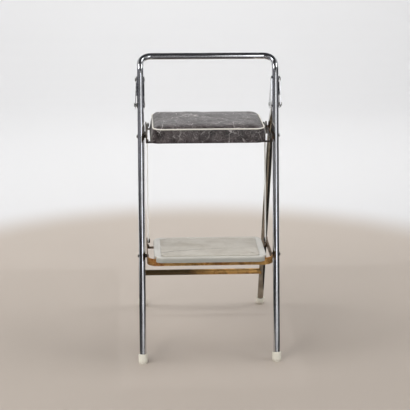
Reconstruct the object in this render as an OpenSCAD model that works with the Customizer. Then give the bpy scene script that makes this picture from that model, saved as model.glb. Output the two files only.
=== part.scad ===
// Folding step stool chair: a bent front tube with a handle, a rear frame hinged
// in gusset brackets, and a padded seat and a step that lift together on links.
// The front foot line is y = 0 while drawing; place() then centres the stool.

/* [Frames] */
// Distance between the axes of the two front legs
leg_spacing = 382; // [360:1:420]
// Distance between the axes of the two rear legs
rear_spacing = 377.4; // [376.6:0.2:377.6]
// Outer diameter of the frame tubes
tube_d = 19; // [18.6:0.1:19.2]
// Wall thickness of the frame tubes
tube_wall = 1.2; // [1:0.1:2]
// Backward lean of the front legs from upright, in degrees
front_lean = 11.8; // [10:0.2:13]
// Distance from the front foot line to the rear foot line
foot_run = 465; // [450:1:480]
// Height of the rear stretcher's axis above the floor
stretcher_z = 124; // [100:1:180]
// Outer diameter of the rear stretcher
stretcher_d = 18; // [12:0.5:18]

/* [Handle] */
// Distance up the front leg, from the floor, to the start of the handle bend
handle_start = 820; // [818:1:840]
// Angle by which the handle bends back from the legs, in degrees
handle_bend = 42; // [20:1:60]
// Centreline radius of the backward bend
handle_bend_r = 34; // [30:1:45]
// Straight length between the backward bend and the corner bend
handle_straight = 8; // [4:1:30]
// Centreline radius of the two handle corners
handle_corner_r = 30; // [24:1:45]

/* [Hinge brackets] */
// Distance up the front leg to the upper bracket rivet
bracket_top = 804; // [798:1:806]
// Distance up the front leg to the lower bracket rivet
bracket_low = 733; // [728:1:740]
// Distance up the front leg to the rear leg's pivot
rear_pivot_up = 733; // [730:1:738]
// Distance of the rear leg's pivot behind the front leg's axis
rear_pivot_back = 58; // [54:1:64]
// Thickness of the bracket sheet
bracket_t = 2; // [1.5:0.1:2.2]
// Outward flare of the outer cheek at the lower rivet
bracket_flare = 3.5; // [3:0.5:5]
// Rounding radius of the cheek around its rivets on the tube
cheek_r = 9; // [8:0.5:10]
// Rounding radius of the cheek around the rear leg's pivot
cheek_pivot_r = 13; // [11:0.5:14]

/* [Carriers] */
// Distance up the front leg to the seat pivot
seat_pivot_up = 644.6; // [635:0.2:655]
// Distance up the front leg to the step pivot
step_pivot_up = 306; // [290:0.1:330]
// Distance from a carrier's pivot back to its link pivot
link_reach = 116; // [110:1:122]
// Height of the link pivots above the carrier pivots
link_rise = 7; // [5:0.5:8]
// Thickness of the carrier's flat bar
bar_t = 3; // [2.5:0.1:3.2]
// Height of the carrier's flat bar
bar_h = 20; // [18:0.5:20]
// Outer corner radius of the bent carrier bar
bar_corner_r = 28; // [20:1:34]
// Gap between the front tube and the carrier's arm, filled by a washer
arm_gap = 4.2; // [4:0.1:4.5]
// Width of the straps across the carriers
strap_w = 12; // [10:0.5:12]
// Thickness of the straps across the carriers
strap_t = 3; // [2:0.5:4]
// Distance from the seat pivot forward to the centre of the arm's rounded front end
arm_front = 44; // [36:1:46]
// Gap between the link pivot's eye and the strap
strap_gap = 1; // [0.5:0.5:3]
// Height of the strap's end tabs, kept under the swinging links
strap_tab = 10; // [8:0.5:10]
// Half width of the strap's raised middle, which the board rests on
strap_rise = 132; // [110:1:133]

// Distance from the step pivot back to the step's strap
step_strap_y = 94; // [80:1:96]

/* [Links] */
// Width of the two flat links
link_w = 14; // [12:1:15]
// Thickness of the two flat links
link_t = 3; // [2:0.25:3.5]
// Gap between a link and the arm beside it
link_gap = 0.8; // [0.6:0.1:1.2]

/* [Seat] */
// Width of the seat cushion
seat_w = 318; // [310:1:326]
// Depth of the seat cushion
seat_depth = 209; // [206:1:220]
// Distance from the seat pivot forward to the cushion's front
seat_front = 65.3; // [60:0.1:70]
// Distance from the carrier bar's top to the cushion's top
cushion_h = 24; // [22:0.5:30]
// Depth of the cushion's skirt below the carrier bar's top
skirt_drop = 16.5; // [6:0.5:16.5]
// Thickness of the vinyl and padding around the seat board
skirt_t = 5; // [4:0.5:6]
// Corner radius of the cushion, seen from above
seat_corner_r = 30; // [20:1:34]
// Thickness of the plywood seat board
seat_board_t = 10; // [8:0.5:12]
// Diameter of the white piping around the cushion's top edge
piping_d = 4; // [3:0.5:5]

/* [Step] */
// Width of the step tray
tray_w = 315; // [300:1:326]
// Depth of the step tray
tray_depth = 186; // [184:1:196]
// Distance from the step pivot forward to the tray's front
tray_front = 73.8; // [70:0.1:75]
// Thickness of the tray's sheet
tray_t = 1.5; // [1:0.1:2]
// Thickness of the board inside the tray
step_board_t = 6.5; // [5:0.5:10]
// Depth of the tray's lip, from its top surface
lip_h = 16; // [13:0.5:18]
// Corner radius of the tray, seen from above
tray_corner_r = 25; // [18:1:30]
// Width of the tread mat
mat_w = 276; // [250:1:290]
// Depth of the tread mat
mat_depth = 166; // [140:1:172]
// Thickness of the tread mat
mat_t = 2; // [1:0.5:3]

/* [Feet] */
// Outer diameter of the foot caps
foot_d = 26; // [24:0.5:28]
// Height of the foot caps along the tube
foot_h = 25; // [20:1:32]
// Thickness of plastic under the tube's end
foot_floor = 7; // [5:0.5:9]

/* [Pins] */
// Radius of the pivot rivets
pin_r = 3; // [2.5:0.25:3.5]
// Radius of the pivot rivets' heads
head_r = 5; // [4.5:0.25:5.5]
// Height of the rivets' outer heads
head_h = 2.5; // [1.5:0.25:3]
// Radius of the pegs that the seat arms rest on
peg_r = 5; // [4:0.25:6]
// Radius of the dark caps on the link pivots
knob_r = 6.5; // [5.5:0.5:7]
// Length of the dark caps on the link pivots
knob_h = 4; // [3:0.5:6]
// Radius of the board screws
screw_r = 2; // [1.5:0.25:2.5]
// Radial running clearance of the pivots
running = 0.05; // [0.02:0.01:0.09]
// Clearance between parts that rest beside each other
rest_gap = 0.3; // [0.2:0.05:0.5]

/* [Hidden] */
$fn = 64;
soft_fn = 32;
sliver = 0.02;
over = 1;
bend_lap = 1;
bend_step = 0.1;

leg_x = leg_spacing / 2;
rear_x = rear_spacing / 2;
tube_r = tube_d / 2;
bore_r = tube_r - tube_wall;
foot_r = foot_d / 2;
head_thin = 2;
thin_head_gap = 0.1;

// Points in the side plane, as [y, z] with the front foot line at y = 0
function on_leg(up, back = 0) =
    [up * sin(front_lean) + back * cos(front_lean), up * cos(front_lean) - back * sin(front_lean)];
rear_pivot = on_leg(rear_pivot_up, rear_pivot_back);
rear_lean = atan2(foot_run - rear_pivot[0], rear_pivot[1]);
rear_length = norm([foot_run - rear_pivot[0], rear_pivot[1]]);
function on_rear_leg(z) = [foot_run - z * tan(rear_lean), z];
seat_pivot = on_leg(seat_pivot_up);
step_pivot = on_leg(step_pivot_up);
link_offset = [link_reach, link_rise];
seat_link = seat_pivot + link_offset;
step_link = step_pivot + link_offset;
front_edge = -foot_r / cos(front_lean);
rear_edge = foot_run + foot_r / cos(rear_lean);
y_mid = (front_edge + rear_edge) / 2;

// Layers across the stool, from the front tube inwards
arm_out = leg_x - tube_r - arm_gap;
arm_in = arm_out - bar_t;
link_out = arm_in - link_gap;
link_in = link_out - link_t;
cheek_gap = 0.2;
cheek_in = leg_x - tube_r - cheek_gap - bracket_t;
cheek_out = leg_x + tube_r + cheek_gap;

// Flattened top of the rear legs
flat_t = 7;
flat_w = 26;
flat_up = 22;
taper_len = 55;
rear_tube_top = rear_length - flat_up - taper_len;

// Carrier levels, from the pivot
bar_top = bar_h / 2;
eye_r = 9;
bar_setback = 10;
strap_front = link_reach + eye_r + strap_gap;
arm_back = strap_front + strap_w;
strap_head_r = 3.2;
strap_rivet_z = strap_t - bar_top + strap_head_r + thin_head_gap;
skirt_back = strap_front - 4;

board_inset = skirt_t + rest_gap;
seat_top = bar_top + cushion_h;
piping_r = piping_d / 2;
piping_in = 1;
piping_z = seat_top - 1.5;
tray_under = bar_top + step_board_t;
tray_top = tray_under + tray_t;
mat_corner_r = 14;
mat_front_in = 8;
screw_in = 40;
screw_side = 60;
peg_z = seat_pivot[1] - bar_h / 2 - rest_gap - peg_r;
peg_inset = 2.5;

// ---- helpers ----

// Moves a drawing from the front foot line to the stool's own origin
module place() { translate([0, -y_mid, 0]) children(); }

// Draws a child on the right and its mirror image on the left
module both_sides() { children(); mirror([1, 0, 0]) children(); }

// Puts a child in the right front leg's frame: z runs up the leg, y points behind it
module on_front_leg() { translate([leg_x, 0, 0]) rotate([-front_lean, 0, 0]) children(); }

// Puts a child in the right rear leg's frame
module on_rear_tube() { translate([rear_x, foot_run, 0]) rotate([rear_lean, 0, 0]) children(); }

// A rod along x at side point p, from x0 to x1
module rod(p, x0, x1, r) { translate([x0, p[0], p[1]]) rotate([0, 90, 0]) cylinder(r = r, h = x1 - x0); }

// A plate from x0 to x1 whose outline is drawn in the side plane
module side_plate(x0, x1) { translate([x0, 0, 0]) rotate([90, 0, 90]) linear_extrude(x1 - x0) children(); }

// Outline around two circles and their outer tangents
module strap_outline(p, rp, q, rq) {
    d = norm(q - p);
    along = atan2(q[1] - p[1], q[0] - p[0]);
    open = acos((rp - rq) / d);
    function rim(c, r, a) = [c[0] + r * cos(a), c[1] + r * sin(a)];
    translate(p) circle(rp);
    translate(q) circle(rq);
    polygon([rim(p, rp, along + open), rim(p, rp, along - open),
        rim(q, rq, along - open), rim(q, rq, along + open)]);
}

// Rounded rectangle from y0 to y1, centred in x
module rounded(w, y0, y1, r) {
    translate([-w / 2 + r, y0]) square([w - 2 * r, y1 - y0]);
    translate([-w / 2, y0 + r]) square([w, y1 - y0 - 2 * r]);
    for (x = [-w / 2 + r, w / 2 - r], y = [y0 + r, y1 - r]) translate([x, y]) circle(r);
}

// Bend of a rod of radius r: starts along z, turns towards y, and laps into its neighbours
module bend(radius, angle, r) {
    lap = bend_lap / radius * 180 / PI;
    translate([0, radius, 0]) rotate([90, 0, -90]) rotate([0, 0, -lap])
        rotate_extrude(angle = angle + 2 * lap) translate([radius, 0]) circle(r - bend_step);
}

// ---- front frame ----

// The run of the front tube as a rod of radius r, from a start near the floor
module front_run(r, start) {
    corner_back = handle_bend_r * (1 - cos(handle_bend));
    corner_up = handle_bend_r * sin(handle_bend);
    both_sides() on_front_leg() {
        translate([0, 0, start]) cylinder(r = r, h = handle_start - start);
        translate([0, 0, handle_start]) bend(handle_bend_r, handle_bend, r);
        translate([0, corner_back, handle_start + corner_up]) rotate([-handle_bend, 0, 0]) {
            cylinder(r = r, h = handle_straight);
            translate([0, 0, handle_straight]) rotate([0, 0, 90]) bend(handle_corner_r, 90, r);
        }
    }
    reach = handle_straight + handle_corner_r;
    grip = on_leg(handle_start + corner_up + reach * cos(handle_bend),
        corner_back + reach * sin(handle_bend));
    half = leg_x - handle_corner_r;
    rod(grip, -half, half, r);
}

module front_frame() color("silver") place() difference() {
    front_run(tube_r, foot_floor);
    front_run(bore_r, foot_floor - over);
    both_sides() for (up = [bracket_top, bracket_low, seat_pivot_up, step_pivot_up])
        rod(on_leg(up), leg_x - tube_d, leg_x + tube_d, pin_r);
}

// A foot cap on the lower end of a tube, cut level with the floor
module foot_cap() {
    difference() {
        translate([0, 0, -foot_h / 2]) cylinder(r = foot_r, h = foot_h * 1.5);
        translate([0, 0, foot_floor]) cylinder(r = tube_r, h = foot_h);
    }
}
module above_floor() intersection() {
    children();
    translate([0, -foot_run, 0]) cube([leg_spacing, foot_run * 3, foot_h * 2]);
}
module front_foot() above_floor() on_front_leg() foot_cap();
module rear_foot() above_floor() on_rear_tube() foot_cap();
module front_foot_left() color("ivory") place() mirror([1, 0, 0]) front_foot();
module front_foot_right() color("ivory") place() front_foot();
module rear_foot_left() color("ivory") place() mirror([1, 0, 0]) rear_foot();
module rear_foot_right() color("ivory") place() rear_foot();

// ---- hinge brackets ----

flare_top = bracket_top + cheek_r;
flare_angle = atan(bracket_flare / (flare_top - bracket_low));
function flare_at(up) = (flare_top - up) * tan(flare_angle);
pivot_flare = flare_at(rear_pivot_up);

// Cheek outline in the leg's own side plane, as [back, up]
module cheek_outline() {
    top = [0, bracket_top];
    low = [0, bracket_low];
    pivot = [rear_pivot_back, rear_pivot_up];
    strap_outline(top, cheek_r, low, cheek_r);
    strap_outline(top, cheek_r, pivot, cheek_pivot_r);
    strap_outline(low, cheek_r, pivot, cheek_pivot_r);
    polygon([top, low, pivot]);
}
module hinge_bracket() difference() {
    on_front_leg() translate([-leg_x, 0, 0]) {
        side_plate(cheek_in, cheek_in + bracket_t) cheek_outline();
        translate([cheek_out, 0, flare_top]) rotate([0, -flare_angle, 0])
            translate([0, 0, -flare_top]) side_plate(0, bracket_t) cheek_outline();
        web_top = bracket_top - cheek_r;
        web_low = bracket_low + cheek_pivot_r * 2;
        translate([0, tube_r + cheek_gap + bracket_t, 0]) rotate([90, 0, 0]) linear_extrude(bracket_t)
            polygon([[cheek_in + bracket_t / 2, web_low], [cheek_in + bracket_t / 2, web_top],
                [cheek_out + flare_at(web_top) + bracket_t / 2, web_top],
                [cheek_out + flare_at(web_low) + bracket_t / 2, web_low]]);
    }
    for (up = [bracket_top, bracket_low]) rod(on_leg(up), cheek_in - over, leg_x + tube_d * 2, pin_r);
    rod(rear_pivot, cheek_in - over, leg_x + tube_d * 2, pin_r);
}
module hinge_bracket_left() color("lightsteelblue") place() mirror([1, 0, 0]) hinge_bracket();
module hinge_bracket_right() color("lightsteelblue") place() hinge_bracket();

// A rivet along x at side point p: shank from x0 to x1 with a head beyond each end
module rivet(p, x0, x1, head_in) {
    rod(p, x0, x1, pin_r);
    rod(p, x0 - head_in, x0, head_r);
    rod(p, x1, x1 + head_h, head_r);
}
// Heads on the flared cheek stand just clear of its tilted face
function outer_seat(up) = cheek_out + flare_at(up) + bracket_t + head_r * tan(flare_angle) + cheek_gap;

module bracket_rivets() color("dimgray") place() both_sides()
    for (up = [bracket_top, bracket_low])
        rivet(on_leg(up), cheek_in, outer_seat(up), head_thin - link_gap);
module bracket_spacers() color("dimgray") place() both_sides() difference() {
    edge = cheek_r / 2 * tan(flare_angle);
    rod(on_leg(bracket_low), leg_x + tube_r + cheek_gap, cheek_out + bracket_flare - edge, cheek_r / 2);
    rod(on_leg(bracket_low), leg_x, cheek_out + bracket_flare, pin_r);
}
module rear_pivot_rivets() color("dimgray") place() both_sides()
    rivet(rear_pivot, cheek_in, outer_seat(rear_pivot_up), head_thin - link_gap);
module rear_pivot_bushes() color("gray") place() both_sides() difference() {
    bush_r = head_r;
    edge = bush_r * tan(flare_angle);
    union() {
        rod(rear_pivot, cheek_in + bracket_t, rear_x - flat_t / 2 - rest_gap, bush_r);
        rod(rear_pivot, rear_x + flat_t / 2 + rest_gap, cheek_out + pivot_flare - edge, bush_r);
    }
    rod(rear_pivot, 0, leg_spacing, pin_r);
}

// ---- pivots on the front legs ----

module carrier_rivet(up) {
    p = on_leg(up);
    rivet(p, arm_in - thin_head_gap, leg_x + tube_r + cheek_gap, head_thin);
}
module seat_pivot_rivets() color("dimgray") place() both_sides() carrier_rivet(seat_pivot_up);
module step_pivot_rivets() color("dimgray") place() both_sides() carrier_rivet(step_pivot_up);
module pivot_washers() color("darkslategray") place() both_sides()
    for (up = [seat_pivot_up, step_pivot_up]) difference() {
        rod(on_leg(up), arm_out + thin_head_gap, leg_x - tube_r, head_r);
        rod(on_leg(up), arm_out - over, leg_x, pin_r);
    }

// ---- rear frame ----

module rear_leg() difference() {
    on_rear_tube() {
        difference() {
            translate([0, 0, foot_floor]) cylinder(r = tube_r, h = rear_tube_top - foot_floor);
            translate([0, 0, foot_floor - over]) cylinder(r = bore_r, h = rear_tube_top - foot_floor);
        }
        hull() {
            translate([0, 0, rear_tube_top - sliver]) cylinder(r = tube_r, h = sliver, $fn = soft_fn);
            translate([-flat_t / 2, -flat_w / 2, rear_length - flat_up]) cube([flat_t, flat_w, sliver]);
        }
        translate([-flat_t / 2, -flat_w / 2, rear_length - flat_up]) cube([flat_t, flat_w, flat_up]);
        translate([-flat_t / 2, 0, rear_length]) rotate([0, 90, 0]) cylinder(r = flat_w / 2, h = flat_t);
    }
    rod(rear_pivot, 0, leg_spacing, pin_r + running);
    rod(on_rear_leg(peg_z), rear_x - tube_d, rear_x, peg_r);
}
module rear_leg_left() color("silver") place() mirror([1, 0, 0]) rear_leg();
module rear_leg_right() color("silver") place() rear_leg();

module rear_stretcher() color("darkgoldenrod") place() difference() {
    p = on_rear_leg(stretcher_z);
    rod(p, -rear_x, rear_x, stretcher_d / 2);
    rod(p, -rear_x - over, rear_x + over, stretcher_d / 2 - tube_wall);
    both_sides() on_rear_tube() cylinder(r = tube_r, h = rear_tube_top);
}
module seat_rest_pegs() color("lightgray") place() both_sides()
    rod(on_rear_leg(peg_z), arm_in - thin_head_gap, rear_x - tube_r + peg_inset, peg_r);

// ---- carriers: flat bars on the leg pivots with raised straps across them ----

// Draws children with the carrier pivot at the origin of the side plane
module at_pivot(pivot) { translate([0, pivot[0], pivot[1]]) children(); }

module carrier(front) difference() {
    union() {
        translate([0, 0, -bar_h / 2]) linear_extrude(bar_h) difference() {
            bar_band(front, 0);
            translate([-leg_x, link_reach + eye_r]) square([leg_spacing, leg_spacing]);
        }
        both_sides() rod(link_offset, arm_in, arm_out, eye_r);
    }
    both_sides() {
        rod([0, 0], arm_in - over, arm_out + over, pin_r + running);
        rod(link_offset, arm_in - over, arm_out + over, pin_r);
        rod(strap_rivet(step_strap_y), arm_in - over, arm_out + over, screw_r);
    }
}
// The band that a carrier's bent bar takes up, grown by a margin all round
module bar_band(front, margin) {
    bar_front = -front + bar_setback;
    far = arm_back + bar_corner_r * 3;
    difference() {
        rounded((arm_out + margin) * 2, bar_front - margin, far, bar_corner_r + margin);
        rounded((arm_in - margin) * 2, bar_front + bar_t + margin, far * 2, bar_corner_r - bar_t - margin);
    }
}
// A skirt of thickness t under an edge, open where the bent bar passes and at the back
module skirt(w, front, depth, r, t) difference() {
    rounded(w, -front, depth - front, r);
    rounded(w - t * 2, t - front, depth - front - t, r - t);
    bar_band(front, rest_gap);
    translate([-leg_x, skirt_back]) square([leg_spacing, depth]);
}
function strap_rivet(y0) = [y0 + strap_w / 2, strap_rivet_z];
module strap(y0) {
    half = [[strap_rise, bar_top], [strap_rise, strap_t - bar_top], [arm_in - strap_t, strap_t - bar_top],
        [arm_in - strap_t, strap_tab - bar_top], [arm_in, strap_tab - bar_top], [arm_in, -bar_top],
        [strap_rise - strap_t, -bar_top], [strap_rise - strap_t, bar_top - strap_t]];
    other = [for (k = [len(half) - 1:-1:0]) [-half[k][0], half[k][1]]];
    difference() {
        translate([0, y0 + strap_w, 0]) rotate([90, 0, 0]) linear_extrude(strap_w)
            polygon(concat(half, other));
        both_sides() rod(strap_rivet(y0), arm_in - strap_t - over, arm_in + over, screw_r);
    }
}
module strap_rivets(y0) both_sides() {
    rod(strap_rivet(y0), arm_in - strap_t, arm_out, screw_r);
    rod(strap_rivet(y0), arm_in - strap_t - head_thin, arm_in - strap_t, strap_head_r);
}
module link_rivets() both_sides() rod(link_offset, link_in, arm_out, pin_r);
module link_caps() both_sides() rod(link_offset, link_in - thin_head_gap - knob_h, link_in - thin_head_gap, knob_r);

// Two screws up through a strap into its board, and the holes for them
module at_screws(w, y0) for (x = [screw_side - w / 2, w / 2 - screw_side])
    translate([x, y0 + strap_w / 2, bar_top - strap_t]) children();
module screws(w, y0, length) at_screws(w, y0) {
    cylinder(r = screw_r, h = strap_t + length);
    translate([0, 0, -head_thin]) cylinder(r = screw_r * 2, h = head_thin);
}
module screw_holes(w, y0, length) at_screws(w, y0)
    translate([0, 0, -over]) cylinder(r = screw_r, h = strap_t + length + over);

// ---- seat ----

seat_y0 = -seat_front;
seat_y1 = seat_y0 + seat_depth;

module seat_arm() difference() {
    union() {
        translate([arm_in, -arm_front, -bar_h / 2]) cube([bar_t, arm_front + arm_back, bar_h]);
        rod([-arm_front, 0], arm_in, arm_out, bar_h / 2);
        rod(link_offset, arm_in, arm_out, eye_r);
    }
    rod([0, 0], arm_in - over, arm_out + over, pin_r + running);
    rod(link_offset, arm_in - over, arm_out + over, pin_r);
    for (y = [-arm_front, strap_front]) rod(strap_rivet(y), arm_in - over, arm_out + over, screw_r);
}
module seat_arm_left() color("saddlebrown") place() at_pivot(seat_pivot) mirror([1, 0, 0]) seat_arm();
module seat_arm_right() color("saddlebrown") place() at_pivot(seat_pivot) seat_arm();
module seat_front_strap() color("saddlebrown") place() at_pivot(seat_pivot) difference() {
    strap(-arm_front);
    screw_holes(seat_w, -arm_front, strap_t);
}
module seat_back_strap() color("saddlebrown") place() at_pivot(seat_pivot) difference() {
    strap(strap_front);
    screw_holes(seat_w, strap_front, strap_t);
}
module seat_strap_rivets() color("dimgray") place() at_pivot(seat_pivot)
    for (y = [-arm_front, strap_front]) strap_rivets(y);
module seat_board() color("burlywood") place() at_pivot(seat_pivot) difference() {
    translate([0, 0, bar_top]) linear_extrude(seat_board_t)
        rounded(seat_w - board_inset * 2, seat_y0 + board_inset, seat_y1 - board_inset,
            seat_corner_r - board_inset);
    for (y = [-arm_front, strap_front]) screw_holes(seat_w, y, seat_board_t / 2);
}

// The run of the piping around the cushion's top edge, as a rod of radius r
module piping_run(r) {
    w = seat_w / 2 - piping_in;
    y0 = seat_y0 + piping_in;
    y1 = seat_y1 - piping_in;
    c = seat_corner_r - piping_in;
    translate([0, 0, piping_z]) {
        for (y = [y0, y1]) rod([y, 0], c - w, w - c, r);
        for (x = [-w, w]) translate([x, y0 + c, 0]) rotate([-90, 0, 0]) cylinder(r = r, h = y1 - y0 - 2 * c);
        for (k = [[w - c, y1 - c, 0], [c - w, y1 - c, 90], [c - w, y0 + c, 180], [w - c, y0 + c, 270]])
            translate([k[0], k[1], 0]) rotate([0, 0, k[2]])
                rotate_extrude(angle = 90) translate([c, 0]) circle(r);
    }
}
module seat_cushion() color("dimgray") place() at_pivot(seat_pivot) difference() {
    translate([0, 0, bar_top - skirt_drop]) linear_extrude(skirt_drop + cushion_h)
        rounded(seat_w, seat_y0, seat_y1, seat_corner_r);
    translate([0, 0, bar_top - skirt_drop - over])
        linear_extrude(over + skirt_drop + seat_board_t + rest_gap)
        rounded(seat_w - skirt_t * 2, seat_y0 + skirt_t, seat_y1 - skirt_t, seat_corner_r - skirt_t);
    piping_run(piping_r);
}
module seat_piping() color("white") place() at_pivot(seat_pivot) piping_run(piping_r);
module seat_screws() color("gray") place() at_pivot(seat_pivot)
    for (y = [-arm_front, strap_front]) screws(seat_w, y, seat_board_t / 2);
module seat_link_rivets() color("dimgray") place() at_pivot(seat_pivot) link_rivets();
module seat_link_caps() color("black") place() at_pivot(seat_pivot) link_caps();

// ---- step ----

tray_y0 = -tray_front;
tray_y1 = tray_y0 + tray_depth;

module step_carrier() color("peru") place() at_pivot(step_pivot) carrier(tray_front);
module step_strap() color("peru") place() at_pivot(step_pivot) difference() {
    strap(step_strap_y);
    screw_holes(tray_w, step_strap_y, strap_t);
}
module step_strap_rivets() color("dimgray") place() at_pivot(step_pivot) strap_rivets(step_strap_y);
module step_board() color("burlywood") place() at_pivot(step_pivot) difference() {
    translate([0, 0, bar_top]) linear_extrude(step_board_t)
        rounded(tray_w - tray_t * 2, tray_y0 + tray_t, tray_y1 - tray_t, tray_corner_r - tray_t);
    screw_holes(tray_w, step_strap_y, step_board_t / 2);
}
module step_tray() color("lightslategray") place() at_pivot(step_pivot) {
    difference() {
        translate([0, 0, bar_top + rest_gap]) linear_extrude(step_board_t + tray_t - rest_gap)
            rounded(tray_w, tray_y0, tray_y1, tray_corner_r);
        translate([0, 0, bar_top]) linear_extrude(step_board_t)
            rounded(tray_w - tray_t * 2, tray_y0 + tray_t, tray_y1 - tray_t, tray_corner_r - tray_t);
    }
    translate([0, 0, tray_top - lip_h]) linear_extrude(lip_h - tray_t / 2)
        skirt(tray_w, tray_front, tray_depth, tray_corner_r, tray_t);
}
module tread_mat() color("darkgray") place() at_pivot(step_pivot)
    translate([0, 0, tray_top]) linear_extrude(mat_t)
        rounded(mat_w, tray_y0 + mat_front_in, tray_y0 + mat_front_in + mat_depth, mat_corner_r);
module step_screws() color("gray") place() at_pivot(step_pivot)
    screws(tray_w, step_strap_y, step_board_t / 2);
module step_link_rivets() color("dimgray") place() at_pivot(step_pivot) link_rivets();
module step_link_caps() color("black") place() at_pivot(step_pivot) link_caps();

// ---- links ----

module link() difference() {
    side_plate(link_in, link_out) strap_outline(seat_link, link_w / 2, step_link, link_w / 2);
    for (p = [seat_link, step_link]) rod(p, link_in - over, link_out + over, pin_r + running);
}
module link_left() color("gainsboro") place() mirror([1, 0, 0]) link();
module link_right() color("gainsboro") place() link();

front_frame();
front_foot_left();
front_foot_right();
hinge_bracket_left();
hinge_bracket_right();
bracket_rivets();
bracket_spacers();
rear_pivot_rivets();
rear_pivot_bushes();
seat_pivot_rivets();
step_pivot_rivets();
pivot_washers();
rear_leg_left();
rear_leg_right();
rear_stretcher();
rear_foot_left();
rear_foot_right();
seat_rest_pegs();
seat_arm_left();
seat_arm_right();
seat_front_strap();
seat_back_strap();
seat_strap_rivets();
seat_board();
seat_cushion();
seat_piping();
seat_screws();
seat_link_rivets();
seat_link_caps();
step_carrier();
step_strap();
step_strap_rivets();
step_board();
step_tray();
tread_mat();
step_screws();
step_link_rivets();
step_link_caps();
link_left();
link_right();
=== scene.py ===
"""Folding step stool chair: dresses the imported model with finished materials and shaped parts."""
import math

import bpy
from mathutils import Matrix, Vector, noise


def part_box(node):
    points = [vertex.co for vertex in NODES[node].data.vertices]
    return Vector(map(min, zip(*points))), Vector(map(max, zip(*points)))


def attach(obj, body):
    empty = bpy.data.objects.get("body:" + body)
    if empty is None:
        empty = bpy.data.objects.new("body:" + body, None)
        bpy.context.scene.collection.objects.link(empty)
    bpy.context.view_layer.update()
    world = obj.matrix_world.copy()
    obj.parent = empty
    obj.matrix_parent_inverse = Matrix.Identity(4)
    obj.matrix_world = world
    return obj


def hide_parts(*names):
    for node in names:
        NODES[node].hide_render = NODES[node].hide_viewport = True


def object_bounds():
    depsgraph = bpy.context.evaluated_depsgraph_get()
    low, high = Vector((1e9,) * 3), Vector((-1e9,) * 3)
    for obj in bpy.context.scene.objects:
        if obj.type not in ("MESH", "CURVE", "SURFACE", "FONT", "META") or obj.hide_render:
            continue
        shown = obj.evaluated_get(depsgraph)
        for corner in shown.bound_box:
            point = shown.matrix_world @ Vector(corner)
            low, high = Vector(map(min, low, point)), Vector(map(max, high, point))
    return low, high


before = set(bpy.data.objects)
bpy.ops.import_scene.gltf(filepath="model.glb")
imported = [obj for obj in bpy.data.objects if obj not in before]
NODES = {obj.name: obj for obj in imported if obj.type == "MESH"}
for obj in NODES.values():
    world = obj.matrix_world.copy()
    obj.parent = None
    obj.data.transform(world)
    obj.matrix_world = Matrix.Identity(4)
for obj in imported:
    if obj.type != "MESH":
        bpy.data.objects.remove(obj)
cad_box = [list(corner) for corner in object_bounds()]


# ---------------------------------------------------------------- shader groups


def new_group(name, inputs, outputs):
    """An empty shader node group with its named sockets, its input and its output node."""
    group = bpy.data.node_groups.new(name, "ShaderNodeTree")
    for title, kind, value in inputs:
        socket = group.interface.new_socket(title, in_out="INPUT", socket_type=kind)
        if value is not None:
            socket.default_value = value
    for title, kind in outputs:
        group.interface.new_socket(title, in_out="OUTPUT", socket_type=kind)
    nodes = group.nodes
    return group, nodes.new("NodeGroupInput"), nodes.new("NodeGroupOutput")


FLOAT, COLOUR, VECTOR = "NodeSocketFloat", "NodeSocketColor", "NodeSocketVector"


class Sheet:
    """Short names for placing and joining the nodes of one tree."""

    def __init__(self, tree):
        self.tree = tree

    def add(self, kind, **settings):
        node = self.tree.nodes.new("ShaderNode" + kind)
        inputs = settings.pop("inputs", {})
        for key, value in settings.items():
            setattr(node, key, value)
        for key, value in inputs.items():
            if isinstance(value, bpy.types.NodeSocket):
                self.tree.links.new(value, node.inputs[key])
            else:
                node.inputs[key].default_value = value
        return node

    def join(self, output, socket):
        self.tree.links.new(output, socket)

    def noise(self, vector, scale, detail=4.0, rough=0.55, warp=0.0):
        return self.add(
            "TexNoise",
            inputs={
                "Vector": vector, "Scale": scale, "Detail": detail, "Roughness": rough, "Distortion": warp,
            },
        ).outputs["Fac"]

    def ramp(self, fac, low, high, ease="LINEAR"):
        """Maps fac from low..high onto 0..1, clamped."""
        limits = {"Value": fac, "From Min": low, "From Max": high}
        return self.add("MapRange", interpolation_type=ease, inputs=limits).outputs["Result"]

    def math(self, operation, a, b=0.0, clamp=False):
        node = self.add("Math", operation=operation, use_clamp=clamp)
        for slot, value in enumerate((a, b)):
            if isinstance(value, bpy.types.NodeSocket):
                self.join(value, node.inputs[slot])
            else:
                node.inputs[slot].default_value = value
        return node.outputs[0]

    def mix(self, fac, a, b, blend="MIX"):
        node = self.add("Mix", data_type="RGBA", blend_type=blend)
        for slot, value in ((0, fac), (6, a), (7, b)):
            if isinstance(value, bpy.types.NodeSocket):
                self.join(value, node.inputs[slot])
            elif slot == 0:
                node.inputs[slot].default_value = value
            else:
                node.inputs[slot].default_value = (*value[:3], 1.0)
        return node.outputs[2]

    def group(self, group, **inputs):
        node = self.tree.nodes.new("ShaderNodeGroup")
        node.node_tree = group
        for key, value in inputs.items():
            title = key.replace("_", " ")
            if isinstance(value, bpy.types.NodeSocket):
                self.join(value, node.inputs[title])
            else:
                node.inputs[title].default_value = value
        return node.outputs


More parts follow.
